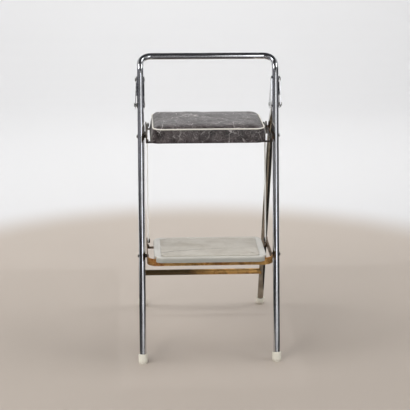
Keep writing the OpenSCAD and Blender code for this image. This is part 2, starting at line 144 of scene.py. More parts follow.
def build_tarnish():
    """Cloudy film, pits and fine scratches of old plated metal."""
    group, start, end = new_group(
        "tarnish",
        [
            ("Vector", VECTOR, None),
            ("Cloud Scale", FLOAT, 14.0),
            ("Pit Scale", FLOAT, 420.0),
            ("Pit Amount", FLOAT, 0.5),
            ("Scratch Scale", FLOAT, 90.0),
        ],
        [("Cloud", FLOAT), ("Pits", FLOAT), ("Scratches", FLOAT), ("Height", FLOAT)],
    )
    s = Sheet(group)
    vector = start.outputs["Vector"]
    cloud = s.ramp(s.noise(vector, start.outputs["Cloud Scale"], 6.0, 0.62, 0.6), 0.36, 0.68, "SMOOTHSTEP")
    grain = s.noise(vector, start.outputs["Pit Scale"], 3.0, 0.6)
    edge = s.math("SUBTRACT", 0.78, s.math("MULTIPLY", start.outputs["Pit Amount"], 0.22))
    patch = s.ramp(s.noise(vector, 22.0, 3.0), 0.42, 0.62)
    pits = s.math("MULTIPLY", s.ramp(s.math("SUBTRACT", grain, edge), 0.0, 0.05), patch, True)
    lay = {"Vector": vector, "Scale": (1.0, 1.0, 0.06), "Rotation": (0.2, 0.0, 0.3)}
    stretched = s.add("Mapping", inputs=lay).outputs["Vector"]
    lines = s.noise(stretched, s.math("MULTIPLY", start.outputs["Scratch Scale"], 10.0), 2.0)
    scratches = s.math("MULTIPLY", s.ramp(lines, 0.66, 0.74), patch)
    sunk = s.math("ADD", pits, s.math("MULTIPLY", scratches, 0.3))
    height = s.math("SUBTRACT", s.math("MULTIPLY", cloud, 0.15), sunk)
    for title, value in (("Cloud", cloud), ("Pits", pits), ("Scratches", scratches), ("Height", height)):
        s.join(value, end.inputs[title])
    return group


def build_wear():
    """Grime that gathers in hollows and wear that shows on high edges, from the surface's own curvature."""
    group, start, end = new_group(
        "edge_wear",
        [("Vector", VECTOR, None), ("Spread", FLOAT, 0.06), ("Break Scale", FLOAT, 60.0)],
        [("Edge", FLOAT), ("Hollow", FLOAT)],
    )
    s = Sheet(group)
    point = s.add("NewGeometry").outputs["Pointiness"]
    breakup = s.noise(start.outputs["Vector"], start.outputs["Break Scale"], 4.0)
    spread = start.outputs["Spread"]
    high = s.ramp(point, 0.505, s.math("ADD", 0.505, spread))
    low = s.ramp(s.math("SUBTRACT", 1.0, point), 0.505, s.math("ADD", 0.505, spread))
    s.join(s.math("MULTIPLY", high, s.ramp(breakup, 0.38, 0.6)), end.inputs["Edge"])
    s.join(s.math("MULTIPLY", low, s.ramp(breakup, 0.3, 0.7)), end.inputs["Hollow"])
    return group


def build_rust():
    """Rust blooms, in colour and as a mask."""
    group, start, end = new_group(
        "rust_bloom",
        [("Vector", VECTOR, None), ("Scale", FLOAT, 30.0), ("Amount", FLOAT, 0.5)],
        [("Mask", FLOAT), ("Rust", COLOUR), ("Height", FLOAT)],
    )
    s = Sheet(group)
    vector = start.outputs["Vector"]
    bloom = s.noise(vector, start.outputs["Scale"], 8.0, 0.7, 0.4)
    edge = s.math("SUBTRACT", 0.75, s.math("MULTIPLY", start.outputs["Amount"], 0.5))
    mask = s.ramp(s.math("SUBTRACT", bloom, edge), 0.0, 0.12, "SMOOTHSTEP")
    grain = s.noise(vector, 700.0, 4.0, 0.7)
    rust = s.mix(grain, (0.16, 0.045, 0.012), (0.46, 0.17, 0.035))
    s.join(mask, end.inputs["Mask"])
    s.join(rust, end.inputs["Rust"])
    s.join(s.math("MULTIPLY", mask, grain), end.inputs["Height"])
    return group


def build_cracked_ice():
    """The cracked-ice figure of old kitchen vinyl: clouded ground, fine bright cracks and stray flecks."""
    group, start, end = new_group(
        "cracked_ice",
        [("Vector", VECTOR, None), ("Scale", FLOAT, 60.0), ("Crack Width", FLOAT, 0.03)],
        [("Cloud", FLOAT), ("Cracks", FLOAT), ("Flecks", FLOAT)],
    )
    s = Sheet(group)
    vector = start.outputs["Vector"]
    scale = start.outputs["Scale"]
    coarse = s.math("MULTIPLY", scale, 0.7)
    bend = s.add("TexNoise", inputs={"Vector": vector, "Scale": coarse, "Detail": 3.0})
    offset = s.add("VectorMath", operation="SCALE", inputs={0: bend.outputs["Color"], "Scale": 0.012})
    bent = s.add("VectorMath", operation="ADD", inputs={0: vector, 1: offset.outputs[0]}).outputs[0]

    def crack_lines(cell_scale):
        cells = s.add("TexVoronoi", feature="DISTANCE_TO_EDGE", inputs={"Vector": bent, "Scale": cell_scale})
        return s.math("SUBTRACT", 1.0, s.ramp(cells.outputs["Distance"], 0.0, start.outputs["Crack Width"]))

    big, small = crack_lines(scale), crack_lines(s.math("MULTIPLY", scale, 2.6))
    some = s.ramp(s.noise(vector, s.math("MULTIPLY", scale, 0.9), 3.0), 0.46, 0.66)
    few = s.ramp(s.noise(vector, s.math("MULTIPLY", scale, 1.7), 2.0), 0.52, 0.7)
    faint = s.math("MULTIPLY", small, s.math("MULTIPLY", few, 0.6))
    cracks = s.math("ADD", s.math("MULTIPLY", big, some), faint, True)
    cloud = s.noise(vector, s.math("MULTIPLY", scale, 0.55), 7.0, 0.7, 0.5)
    fleck = s.noise(vector, s.math("MULTIPLY", scale, 5.0), 2.0, 0.5, 1.2)
    flecks = s.math("MULTIPLY", s.ramp(fleck, 0.66, 0.72), s.ramp(cloud, 0.45, 0.6))
    for title, value in (("Cloud", cloud), ("Cracks", cracks), ("Flecks", flecks)):
        s.join(value, end.inputs[title])
    return group


TARNISH = build_tarnish()
WEAR = build_wear()
RUST = build_rust()
CRACKED_ICE = build_cracked_ice()


# ---------------------------------------------------------------- materials


def start_material(name):
    material = bpy.data.materials.new(name)
    material.use_nodes = True
    tree = material.node_tree
    shader = tree.nodes["Principled BSDF"]
    sheet = Sheet(tree)
    place = sheet.add("TexCoord").outputs["Object"]
    return material, sheet, shader, place


def add_bump(sheet, shader, height, strength, distance):
    bump = sheet.add("Bump", inputs={"Height": height, "Strength": strength, "Distance": distance})
    sheet.join(bump.outputs["Normal"], shader.inputs["Normal"])


def plated_metal(
    name, bright, dull, roughness, film, pit_amount, rust_amount, cloud_scale=14.0, relief=0.25, metal=1.0
):
    """Chrome or nickel plate with a clouded film, pits and a little rust."""
    material, s, shader, place = start_material(name)
    old = s.group(TARNISH, Vector=place, Cloud_Scale=cloud_scale, Pit_Amount=pit_amount)
    rust = s.group(RUST, Vector=place, Scale=45.0, Amount=rust_amount)
    film_mask = s.math("MULTIPLY", old["Cloud"], film)
    colour = s.mix(film_mask, bright, dull)
    colour = s.mix(s.math("MULTIPLY", old["Pits"], 0.8), colour, (0.09, 0.06, 0.04))
    colour = s.mix(s.math("MULTIPLY", rust["Mask"], 0.75), colour, rust["Rust"])
    s.join(colour, shader.inputs["Base Color"])
    rough = s.math("ADD", roughness, s.math("MULTIPLY", film_mask, 0.22))
    broken = s.math("ADD", old["Scratches"], rust["Mask"])
    rough = s.math("ADD", rough, s.math("MULTIPLY", broken, 0.25), True)
    s.join(rough, shader.inputs["Roughness"])
    bare = s.math("MULTIPLY", s.math("MAXIMUM", rust["Mask"], old["Pits"]), 0.7 * metal)
    s.join(s.math("SUBTRACT", metal, bare), shader.inputs["Metallic"])
    add_bump(s, shader, s.math("ADD", old["Height"], rust["Height"]), relief, 0.0004)
    return material


def lacquered_bar(name, gold, dark, amount, shade_depths=None, lit_right=None, metal=0.85):
    """Gold-lacquered steel with rust breaking through.

    Shade depths, front to back: painted shade sets in at the first and covers all past the second, where the
    bar runs back under the tray.
    For a lit right end, two places along the bar: the lacquer is dark before the first, as painted shade, and
    bright past the second, as a painted highlight.
    """
    material, s, shader, place = start_material(name)
    rust = s.group(RUST, Vector=place, Scale=24.0, Amount=amount)
    old = s.group(TARNISH, Vector=place, Cloud_Scale=20.0, Pit_Amount=0.7)
    axes = s.add("SeparateXYZ", inputs={"Vector": place}).outputs
    tone = old["Cloud"]
    # Painted shade and highlight: along X the colour darkens to the left and brightens to the right.
    if lit_right is not None:
        uneven = s.math("MULTIPLY", s.noise(place, 40.0, 4.0), 0.05)
        tone = s.math("MAXIMUM", tone, s.ramp(s.math("ADD", axes["X"], uneven), lit_right[1], lit_right[0]))
    colour = s.mix(tone, gold, dark)
    colour = s.mix(s.math("MULTIPLY", rust["Mask"], 0.85), colour, rust["Rust"])
    rough = s.math("ADD", 0.3 + 0.5 * (0.85 - metal), s.math("MULTIPLY", rust["Mask"], 0.45))
    # Painted shade: past the given depths the bar turns dark brown, for the part that runs back into shadow
    # under the tray.
    if shade_depths is not None:
        uneven = s.math("MULTIPLY", s.noise(place, 70.0, 4.0), 0.02)
        painted_shade = s.ramp(s.math("ADD", axes["Y"], uneven), shade_depths[0], shade_depths[1])
        grime_and_shade = s.mix(old["Cloud"], (0.13, 0.085, 0.05), (0.04, 0.028, 0.02))
        colour = s.mix(s.math("MULTIPLY", painted_shade, 0.92), colour, grime_and_shade)
        rough = s.math("ADD", rough, s.math("MULTIPLY", painted_shade, 0.12))
    colour = s.mix(s.math("MULTIPLY", old["Pits"], 0.9), colour, (0.03, 0.018, 0.01))
    s.join(colour, shader.inputs["Base Color"])
    s.join(rough, shader.inputs["Roughness"])
    bare = s.math("MULTIPLY", rust["Mask"], 0.6 * metal)
    s.join(s.math("SUBTRACT", metal, bare), shader.inputs["Metallic"])
    add_bump(s, shader, s.math("ADD", rust["Height"], old["Height"]), 0.4, 0.0006)
    return material


def marbled_vinyl(name):
    """Charcoal cracked-ice vinyl with scuffs and a fine leathery grain."""
    material, s, shader, place = start_material(name)
    ice = s.group(CRACKED_ICE, Vector=place, Scale=70.0, Crack_Width=0.055)
    wide = s.group(CRACKED_ICE, Vector=place, Scale=32.0, Crack_Width=0.036)
    ground = s.mix(s.ramp(ice["Cloud"], 0.38, 0.66), (0.014, 0.009, 0.009), (0.100, 0.082, 0.082))
    ground = s.mix(s.math("MULTIPLY", ice["Cracks"], 0.55), ground, (0.40, 0.36, 0.35))
    ground = s.mix(s.math("MULTIPLY", wide["Cracks"], 0.9), ground, (0.66, 0.62, 0.60))
    ground = s.mix(s.math("MULTIPLY", ice["Flecks"], 0.9), ground, (0.80, 0.78, 0.75))
    scuff = s.ramp(s.noise(place, 9.0, 7.0, 0.7, 0.4), 0.5, 0.78)
    ground = s.mix(s.math("MULTIPLY", scuff, 0.16), ground, (0.3, 0.27, 0.26))
    # Painted light: the cushion's side walls turn paler beige in patches, where light falls on them.
    aside = s.math("ABSOLUTE", s.add("SeparateXYZ", inputs={"Vector": place}).outputs["X"])
    lit_ends = s.math("MULTIPLY", s.ramp(aside, *LIT_ENDS), s.ramp(s.noise(place, 45.0, 5.0), 0.3, 0.6))
    ground = s.mix(s.math("MULTIPLY", lit_ends, 0.4), ground, (0.30, 0.285, 0.26))
    s.join(ground, shader.inputs["Base Color"])
    s.join(s.math("ADD", 0.34, s.math("MULTIPLY", scuff, 0.25)), shader.inputs["Roughness"])
    shader.inputs["Coat Weight"].default_value = 0.12
    shader.inputs["Coat Roughness"].default_value = 0.3
    grain = s.noise(place, 900.0, 4.0, 0.6)
    add_bump(s, shader, s.math("SUBTRACT", grain, s.math("MULTIPLY", wide["Cracks"], 0.5)), 0.25, 0.0004)
    return material


def moulded_plastic(name, clean, dirty, roughness, low, high):
    """Moulded plastic with grime that thickens between two heights above the floor."""
    material, s, shader, place = start_material(name)
    up = s.add("SeparateXYZ", inputs={"Vector": place}).outputs["Z"]
    grime_and_shade = s.math("MULTIPLY", s.ramp(up, high, low), s.ramp(s.noise(place, 160.0, 5.0, 0.65), 0.35, 0.65))
    wear = s.group(WEAR, Vector=place)
    colour = s.mix(s.noise(place, 60.0, 4.0), clean, [0.92 * c for c in clean])
    colour = s.mix(s.math("MULTIPLY", grime_and_shade, 0.7), colour, dirty)
    colour = s.mix(s.math("MULTIPLY", wear["Hollow"], 0.5), colour, dirty)
    s.join(colour, shader.inputs["Base Color"])
    s.join(s.math("ADD", roughness, s.math("MULTIPLY", grime_and_shade, 0.2)), shader.inputs["Roughness"])
    add_bump(s, shader, s.noise(place, 700.0, 3.0), 0.12, 0.0003)
    return material


def enamel(name, colour, lower, chipped):
    """Old enamel on sheet steel: pale on top, darker down its lip as painted shade, scraped at the back,
    chipped in places.
    """
    material, s, shader, place = start_material(name)
    rust = s.group(RUST, Vector=place, Scale=52.0, Amount=0.1)
    axes = s.add("SeparateXYZ", inputs={"Vector": place}).outputs
    # Painted shade: the lip's front face, below the top edge, takes the darker lower colour.
    uneven = s.math("MULTIPLY", s.noise(place, 30.0, 4.0), 0.004)
    lip = s.ramp(s.math("ADD", axes["Z"], uneven), TRAY_TOP - 0.001, TRAY_TOP - 0.006)
    cloud = s.ramp(s.noise(place, 14.0, 6.0, 0.6), 0.3, 0.75)
    coat = s.mix(cloud, colour, [0.86 * c for c in colour])
    coat = s.mix(s.math("MULTIPLY", lip, 0.85), coat, lower)
    specks = s.ramp(s.noise(place, 420.0, 3.0, 0.7), 0.66, 0.72)
    coat = s.mix(s.math("MULTIPLY", specks, 0.4), coat, (0.2, 0.18, 0.15))
    reach = [
        s.math("DIVIDE", s.math("ABSOLUTE", s.math("ADD", axes[axis], -centre)), half)
        for axis, centre, half in zip("XY", SCRAPE_MIDDLE, SCRAPE_HALF)
    ]
    scrape = s.ramp(s.math("MAXIMUM", *reach), 1.0, 0.7)
    scrape = s.math("MULTIPLY", scrape, s.ramp(s.noise(place, 180.0, 4.0), 0.42, 0.5))
    coat = s.mix(scrape, coat, (0.86, 0.84, 0.8))
    chip = s.math("MULTIPLY", rust["Mask"], 0.7)
    coat = s.mix(chip, coat, chipped)
    s.join(coat, shader.inputs["Base Color"])
    s.join(s.math("ADD", 0.26, s.math("MULTIPLY", chip, 0.4)), shader.inputs["Roughness"])
    shader.inputs["Coat Weight"].default_value = 0.3
    shader.inputs["Coat Roughness"].default_value = 0.15
    height = s.math("SUBTRACT", s.noise(place, 500.0, 3.0), s.math("MULTIPLY", chip, 0.8))
    add_bump(s, shader, height, 0.12, 0.0003)
    return material


def tread_lino(name):
    """Grey-beige tread mat, faintly marbled, with scuffs along the way feet slide and one old split."""
    material, s, shader, place = start_material(name)
    ice = s.group(CRACKED_ICE, Vector=place, Scale=34.0, Crack_Width=0.02)
    colour = s.mix(s.ramp(ice["Cloud"], 0.36, 0.68), (0.43, 0.395, 0.335), (0.55, 0.52, 0.455))
    colour = s.mix(s.math("MULTIPLY", ice["Cracks"], 0.2), colour, (0.75, 0.74, 0.70))
    slide = {"Vector": place, "Scale": (0.22, 1.0, 1.0), "Rotation": (0.0, 0.0, 0.12)}
    along = s.add("Mapping", inputs=slide).outputs[0]
    scuffs = s.ramp(s.noise(along, 120.0, 5.0, 0.7), 0.6, 0.74)
    dirt = s.ramp(s.noise(along, 26.0, 6.0, 0.65, 0.3), 0.52, 0.74)
    colour = s.mix(s.math("MULTIPLY", dirt, 0.35), colour, (0.36, 0.32, 0.26))
    colour = s.mix(s.math("MULTIPLY", scuffs, 0.35), colour, (0.78, 0.77, 0.74))
    axes = s.add("SeparateXYZ", inputs={"Vector": place}).outputs
    bow = s.math("MULTIPLY", s.math("POWER", s.math("SUBTRACT", axes["X"], 0.06), 2.0), -0.85)
    wander = s.math("MULTIPLY", s.math("SUBTRACT", s.noise(place, 38.0, 4.0), 0.5), 0.012)
    course = s.math("ADD", s.math("ADD", bow, SPLIT_Y), wander)
    split = s.ramp(s.math("ABSOLUTE", s.math("SUBTRACT", axes["Y"], course)), 0.0026, 0.0008)
    patchy = s.ramp(s.noise(place, 60.0, 3.0), 0.25, 0.45)
    fading = s.math("MULTIPLY", s.ramp(axes["X"], 0.095, -0.02), patchy)
    split = s.math("MULTIPLY", split, fading)
    colour = s.mix(s.math("MULTIPLY", split, 0.7), colour, (0.14, 0.12, 0.09))
    s.join(colour, shader.inputs["Base Color"])
    s.join(s.math("ADD", 0.36, s.math("MULTIPLY", dirt, 0.25)), shader.inputs["Roughness"])
    height = s.math("ADD", s.noise(place, 260.0, 4.0), s.math("MULTIPLY", scuffs, 0.4))
    add_bump(s, shader, s.math("SUBTRACT", height, s.math("MULTIPLY", split, 2.0)), 0.2, 0.0004)
    return material


def plywood(name):
    """Plywood face and edge plies."""
    material, s, shader, place = start_material(name)
    along = s.add("Mapping", inputs={"Vector": place, "Scale": (0.12, 1.0, 3.0)}).outputs[0]
    grain = s.noise(along, 160.0, 6.0, 0.6, 0.8)
    layers = {"Vector": place, "Scale": 95.0, "Distortion": 0.6}
    plies = s.add("TexWave", wave_type="BANDS", bands_direction="Z", inputs=layers)
    colour = s.mix(grain, (0.42, 0.25, 0.12), (0.62, 0.43, 0.24))
    colour = s.mix(s.math("MULTIPLY", plies.outputs["Fac"], 0.3), colour, (0.25, 0.14, 0.07))
    s.join(colour, shader.inputs["Base Color"])
    shader.inputs["Roughness"].default_value = 0.7
    add_bump(s, shader, grain, 0.2, 0.0004)
    return material


TRAY_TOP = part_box("step_tray")[1][2]
SCRAPE_MIDDLE, SCRAPE_HALF = (-0.044, -0.0645), (0.018, 0.0045)
SPLIT_Y = -0.172
# The painted light on the cushion's side walls begins and becomes full at these distances across from the
# middle.
LIT_ENDS = (0.1565, 0.1615)

CHROME = plated_metal(
    "chrome_tube", (0.80, 0.81, 0.84), (0.46, 0.45, 0.45),
    roughness=0.07, film=0.5, pit_amount=0.35, rust_amount=0.1, relief=0.09,
)
# The rear legs' colours are darker and browner than the front chrome: partly tarnish, partly painted shade
# and a painted floor reflection, for legs that stand back in shadow.
DULL_SHADED_CHROME = plated_metal(
    "dull_tube", (0.42, 0.38, 0.32), (0.16, 0.13, 0.10),
    roughness=0.09, film=0.6, pit_amount=0.6, rust_amount=0.26, cloud_scale=18.0, relief=0.14,
)
PLATE_STEEL = plated_metal(
    "plated_sheet", (0.66, 0.67, 0.70), (0.36, 0.34, 0.32),
    roughness=0.16, film=0.6, pit_amount=0.6, rust_amount=0.25, cloud_scale=30.0,
)
ZINC = plated_metal(
    "zinc_hardware", (0.55, 0.54, 0.52), (0.25, 0.22, 0.19),
    roughness=0.28, film=0.8, pit_amount=0.8, rust_amount=0.35, cloud_scale=60.0,
)
LINK_METAL = plated_metal(
    "bright_link", (0.98, 0.97, 0.93), (0.80, 0.78, 0.72),
    roughness=0.34, film=0.4, pit_amount=0.4, rust_amount=0.1, cloud_scale=30.0, metal=0.15,
)
DARK_STEEL = plated_metal(
    "dark_washer", (0.10, 0.095, 0.09), (0.04, 0.03, 0.025),
    roughness=0.4, film=0.8, pit_amount=0.8, rust_amount=0.3, cloud_scale=60.0,
)
# The step bar darkens towards the back as painted shade, where its arms run under the tray.
RUSTED_BAR = lacquered_bar(
    "rusted_bar", (1.0, 0.57, 0.19), (0.48, 0.23, 0.07), amount=0.48, shade_depths=(-0.216, -0.196)
)
# The seat bar's dark colours are painted shade, for arms and straps that lie in shadow under the cushion.
SEAT_BAR = lacquered_bar("seat_bar", (0.10, 0.07, 0.05), (0.04, 0.03, 0.024), amount=0.42, metal=0.35)
# The stretcher's right half is bright as a painted highlight, and its left half is dark as painted shade.
STRETCHER = lacquered_bar(
    "stretcher_lacquer", (0.72, 0.42, 0.14), (0.095, 0.066, 0.03), amount=0.36, lit_right=(-0.02, 0.08)
)
VINYL = marbled_vinyl("marbled_vinyl")
PIPING = moulded_plastic(
    "piping_vinyl", (0.92, 0.89, 0.81), (0.42, 0.35, 0.26), roughness=0.38, low=0.3, high=0.8
)
FOOT = moulded_plastic(
    "foot_plastic", (0.90, 0.87, 0.76), (0.26, 0.19, 0.12), roughness=0.45, low=0.0, high=0.009
)
# The tray's second colour is the lip's, darker as painted shade on its front face.
TRAY = enamel("tray_enamel", (0.60, 0.58, 0.53), (0.40, 0.405, 0.365), (0.24, 0.12, 0.06))
TREAD = tread_lino("tread_lino")
PLY = plywood("plywood")
CAP = moulded_plastic(
    "cap_plastic", (0.016, 0.015, 0.014), (0.05, 0.043, 0.035), roughness=0.42, low=0.2, high=0.7
)

FINISH = {
    "front_frame": CHROME,
    "hinge_bracket_left": PLATE_STEEL,
    "hinge_bracket_right": PLATE_STEEL,
    "pivot_washers": DARK_STEEL,
    "rear_leg_left": DULL_SHADED_CHROME,
    "rear_leg_right": DULL_SHADED_CHROME,
    "rear_stretcher": STRETCHER,
    "seat_arm_left": SEAT_BAR,
    "seat_arm_right": SEAT_BAR,
    "seat_front_strap": SEAT_BAR,
    "seat_back_strap": SEAT_BAR,
    "seat_board": PLY,
    "seat_cushion": VINYL,
    "seat_piping": PIPING,
    "seat_link_caps": CAP,
    "step_carrier": RUSTED_BAR,
    "step_strap": RUSTED_BAR,
    "step_board": PLY,
    "step_tray": TRAY,
    "tread_mat": TREAD,
    "step_link_caps": CAP,
    "link_left": LINK_METAL,
    "link_right": LINK_METAL,
}
for title, node in NODES.items():
    finish = FOOT if "foot" in title else FINISH.get(title, ZINC)
    node.data.materials.clear()
    node.data.materials.append(finish)


# ---------------------------------------------------------------- bench tools

# A vertex or face this close to a height lies on it.
LEVEL = 1e-5


def clear_bench():
    if bpy.context.object and bpy.context.object.mode != "OBJECT":
        bpy.ops.object.mode_set(mode="OBJECT")
    bpy.ops.object.select_all(action="DESELECT")


def take(piece):
    clear_bench()
    piece.select_set(True)
    bpy.context.view_layer.objects.active = piece
    return piece


def settle(piece):
    take(piece)
    bpy.ops.object.transform_apply(location=True, rotation=True, scale=True)
    return piece


def edit(kind, picks):
    """Goes into edit mode with just these vertices, edges or faces selected; picks is a test on each."""
    piece = bpy.context.object
    mesh = piece.data
    for layer in (mesh.vertices, mesh.edges, mesh.polygons):
        layer.foreach_set("select", [False] * len(layer))
    layer = {"VERT": mesh.vertices, "EDGE": mesh.edges, "FACE": mesh.polygons}[kind]
    for item in layer:
        item.select = bool(picks(item))
    bpy.context.tool_settings.mesh_select_mode = (kind == "VERT", kind == "EDGE", kind == "FACE")
    bpy.ops.object.mode_set(mode="EDIT")


def done():
    bpy.ops.object.mode_set(mode="OBJECT")


def vectors(box):
    """The low and the high corner of a box."""
    return [Vector(corner) for corner in box]


def ends_of(piece, edge):
    return [piece.data.vertices[v].co for v in edge.vertices]


def rounded_slab(name, low, high, corner, segments=10):
    """A block between two corners, its upright edges rounded over by one radius or each by its own."""
    clear_bench()
    low, high = Vector(low), Vector(high)
    middle = (low + high) / 2
    bpy.ops.mesh.primitive_cube_add(size=1.0, location=middle)
    slab = bpy.context.object
    slab.name = slab.data.name = name
    slab.scale = high - low
    settle(slab)
    alike = {(side, end): corner for side in (-1, 1) for end in (-1, 1)}
    radii = corner if isinstance(corner, dict) else alike
    for (side, end), radius in radii.items():

        def at_corner(edge):
            a, b = ends_of(slab, edge)
            here = (a + b) / 2 - middle
            return abs(a.z - b.z) > 0.5 * (high.z - low.z) and here.x * side > 0.0 and here.y * end > 0.0

        edit("EDGE", at_corner)
        bpy.ops.mesh.bevel(offset=radius, segments=segments, affect="EDGES")
        done()
    return slab


def apply_modifier(piece, kind, **settings):
    take(piece)
    modifier = piece.modifiers.new(kind.lower(), kind)
    for key, value in settings.items():
        setattr(modifier, key, value)
    bpy.ops.object.modifier_apply(modifier=modifier.name)


def fit(piece, finish, body, *stands_for):
    """Gives a finished piece its material and joins it to the body that carries it."""
    piece.data.materials.clear()
    piece.data.materials.append(finish)
    for face in piece.data.polygons:
        face.material_index = 0
    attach(piece, body)
    if stands_for:
        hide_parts(*stands_for)
    return piece


def join_pieces(name, pieces):
    clear_bench()
    for piece in pieces:
        piece.select_set(True)
    bpy.context.view_layer.objects.active = pieces[0]
    if len(pieces) > 1:
        bpy.ops.object.join()
    whole = bpy.context.object
    whole.name = whole.data.name = name
    return whole


def smooth(piece, degrees=40.0):
    take(piece)
    bpy.ops.object.shade_smooth_by_angle(angle=math.radians(degrees))
    return piece


# ---------------------------------------------------------------- seat cushion

SEAT_LOW, SEAT_HIGH = vectors(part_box("seat_cushion"))
SEAT_SHIFT = Vector((-0.0015, 0.0, 0.0))
SEAT_MIDDLE = (SEAT_LOW + SEAT_HIGH) / 2 + SEAT_SHIFT
SEAM_HALF = Vector((0.1547, 0.1028))
SEAM_CORNERS = {(-1, -1): 0.024, (1, -1): 0.028, (1, 1): 0.026, (-1, 1): 0.013}
SEAM_Z = SEAT_HIGH.z - 0.0012
CROWN = 0.0095
CROWN_RUN = 0.0085
BACK_LIFT = 0.22
LEFT_FLARE, RIGHT_FLARE, END_FLARE = 0.0086, 0.0046, 0.0010
COVER_THICKNESS = 0.0026
SEAM_REACH = 0.0005
SWELL_FRAMES = 20
SWELL_LIMIT = 0.0026
BROAD_WAVE, FINE_WAVE = 0.0013, 0.0005
PUCKER, PUCKER_RUN = 0.0013, 0.014
BULGE, CREASE, FOLD = 0.0012, 0.0012, 0.0007


def past_corner(x, y):
    """How far a point lies past the start of its corner's rounding, across and along, and the radius."""
    radius = SEAM_CORNERS[(1 if x > 0.0 else -1, 1 if y > 0.0 else -1)]
    return abs(x) - (SEAM_HALF.x - radius), abs(y) - (SEAM_HALF.y - radius), radius


def inside_seam(place):
    """How far inside the top seam's outline a point lies; negative outside."""
    dx, dy, radius = past_corner(place.x - SEAT_MIDDLE.x, place.y - SEAT_MIDDLE.y)
    return radius - math.hypot(max(dx, 0.0), max(dy, 0.0)) - min(max(dx, dy), 0.0)


def away_from_seam(place):
    """Unit direction that points straight out across the nearest stretch of seam."""
    x, y = place.x - SEAT_MIDDLE.x, place.y - SEAT_MIDDLE.y
    dx, dy, _ = past_corner(x, y)
    if dx <= 0.0 and dy <= 0.0:
        dx, dy = (1.0, 0.0) if dx > dy else (0.0, 1.0)
    out = Vector((math.copysign(max(dx, 0.0), x), math.copysign(max(dy, 0.0), y), 0.0))
    return out.normalized()


def seam_path(spacing=0.005):
    """Points around the cushion's top seam, from the back's right end round by the left."""
    corners = ((-1, 1), (-1, -1), (1, -1), (1, 1))
    points = []
    for k, (side, end) in enumerate(corners):
        radius = SEAM_CORNERS[(side, end)]
        centre = Vector((side * (SEAM_HALF.x - radius), end * (SEAM_HALF.y - radius), 0.0))
        start = math.pi / 2 * (k + 1)
        for step in range(13):
            turn = start + math.pi / 2 * step / 12
            points.append(centre + radius * Vector((math.cos(turn), math.sin(turn), 0.0)))
    middle = Vector((SEAT_MIDDLE.x, SEAT_MIDDLE.y, SEAM_Z))
    path = []
    for here, there in zip(points, points[1:] + points[:1]):
        count = max(round((there - here).length / spacing), 1)
        path += [middle + here.lerp(there, k / count) for k in range(count)]
    back = SEAT_MIDDLE.x + 0.02
    first = next(k for k in range(len(path)) if path[k].y > middle.y and path[k].x < back < path[k - 1].x)
    return path[first:] + path[:first]


def swell_cushion(pad):
    """Fills the cover with pressure; the seam and the lower rim are held."""
    take(pad)
    held = pad.vertex_groups.new(name="held")
    rest = [v.co.copy() for v in pad.data.vertices]
    for v in pad.data.vertices:
        at_seam = v.co.z > SEAM_Z - SEAM_REACH and inside_seam(v.co) < SEAM_REACH
        if at_seam or v.co.z < SEAT_LOW.z + SEAM_REACH:
            held.add([v.index], 1.0, "REPLACE")
    cloth = pad.modifiers.new("cloth", "CLOTH")
    settings = cloth.settings
    settings.use_pressure = True
    settings.uniform_pressure_force = 4.0
    settings.effector_weights.gravity = 0.0
    settings.vertex_group_mass = "held"
    settings.tension_stiffness = settings.compression_stiffness = 25.0
    settings.shear_stiffness = 10.0
    settings.bending_stiffness = 1.5
    settings.quality = 6
    cloth.point_cache.frame_start, cloth.point_cache.frame_end = 1, SWELL_FRAMES
    for step in range(1, SWELL_FRAMES + 1):
        bpy.context.scene.frame_set(step)
    bpy.ops.object.modifier_apply(modifier=cloth.name)
    bpy.context.scene.frame_set(1)
    moves = [v.co - start for v, start in zip(pad.data.vertices, rest)]
    rises = [m.z for m, r in zip(moves, rest) if r.z > SEAM_Z - SEAM_REACH]
    spreads = [math.hypot(m.x, m.y) for m, r in zip(moves, rest) if r.z <= SEAM_Z - SEAM_REACH]
    up, out = (min(SWELL_LIMIT / max(max(most), 1e-6), 1.0) for most in (rises, spreads))
    for v, move, start in zip(pad.data.vertices, moves, rest):
        v.co = start + Vector((move.x * out, move.y * out, move.z * up))


def shape_cushion(pad):
    """Domes the top, flares the sides and gathers both into the seam, with puckers along it."""
    for v in pad.data.vertices:
        depth = inside_seam(v.co)
        drop = SEAM_Z - v.co.z
        if depth > 0.0 and drop < 0.002:
            lift = 1.0 + BACK_LIFT * (v.co.y - SEAT_MIDDLE.y) / SEAM_HALF.y
            rise = CROWN * lift * (1.0 - math.exp(-depth / CROWN_RUN))
            swell = noise.noise(v.co * 15.0) * BROAD_WAVE + noise.noise(v.co * 48.0) * FINE_WAVE
            ripple = noise.noise(Vector((v.co.x * 110.0, v.co.y * 110.0, 3.0)))
            pucker = ripple * PUCKER * math.exp(-depth / PUCKER_RUN)
            v.co.z += rise + (swell + pucker) * min(depth / 0.006, 1.0)
        elif drop > 0.0002:
            out = away_from_seam(v.co)
            share = min(drop / (SEAM_Z - SEAT_LOW.z), 1.0)
            ease = math.sin(math.pi * share) ** 0.5
            crease = noise.noise(Vector((v.co.x * 34.0, v.co.y * 34.0, v.co.z * 20.0))) * CREASE
            fold = noise.noise(Vector((v.co.x * 120.0, v.co.y * 120.0, v.co.z * 30.0))) * FOLD
            flare = abs(out.x) * (LEFT_FLARE if out.x < 0.0 else RIGHT_FLARE) + abs(out.y) * END_FLARE
            v.co += out * (flare * share ** 0.8 + (BULGE + crease + fold) * ease)


def cut_grid(axis, start, stop, pitch):
    """Slices the piece in hand into strips across one axis."""
    normal = Vector((0.0, 0.0, 0.0))
    normal[axis] = 1.0
    count = round((stop - start) / pitch)
    edit("VERT", lambda v: True)
    for k in range(1, count):
        bpy.ops.mesh.select_all(action="SELECT")
        bpy.ops.mesh.bisect(plane_co=normal * (start + (stop - start) * k / count), plane_no=normal)
    done()


